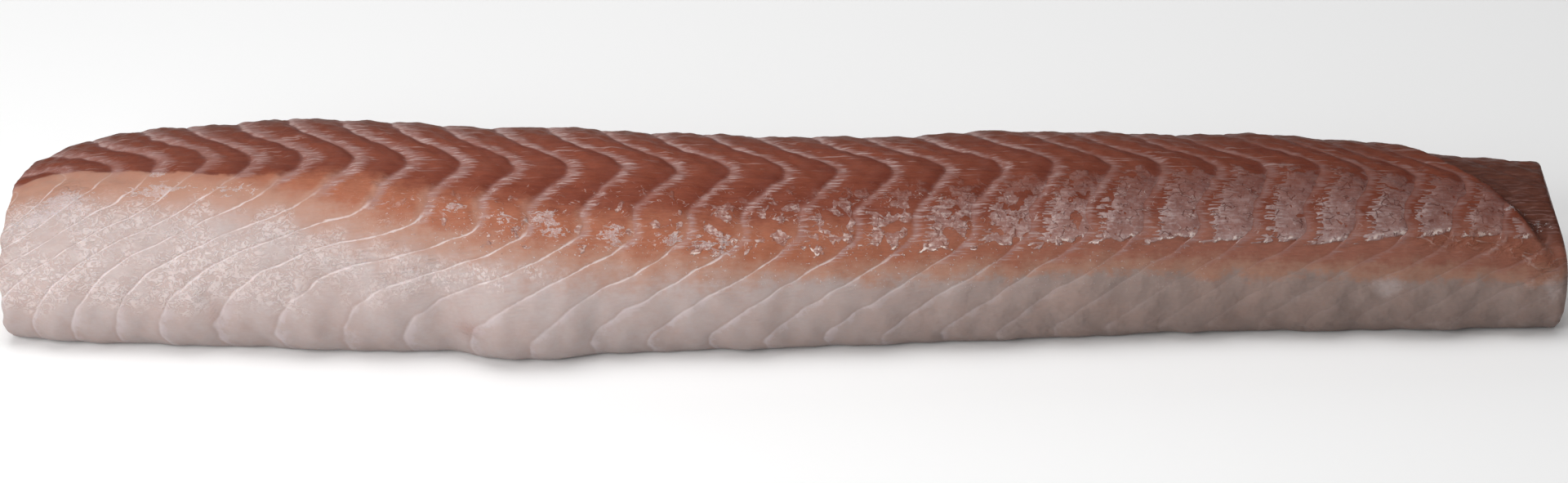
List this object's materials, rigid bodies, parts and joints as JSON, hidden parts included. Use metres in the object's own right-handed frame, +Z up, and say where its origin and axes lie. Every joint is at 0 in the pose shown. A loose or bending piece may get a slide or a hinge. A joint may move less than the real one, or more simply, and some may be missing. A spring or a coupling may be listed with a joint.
{
  "type": "pollock loin",
  "caption": "Long raw fish loin, skinned, with a red muscle band on top, a pale rounded front and chevron flakes, cut across at both ends.",
  "frame": {"origin": "centre of the loin's outline on the surface it lies on", "axes": "+X along the loin from its thick head end to its tail end, +Y from the pale rounded front to the back, +Z up"},
  "size_m": [0.3204, 0.0654, 0.034],
  "materials": {
    "fish_flesh": "moist raw fish: brown-red muscle over the top, pale grey-pink flesh below, thin whitish lines between the flakes, wet gloss"
  },
  "bodies": {
    "root": {"pollock_loin": "fish_flesh"}
  },
  "joints": []
}
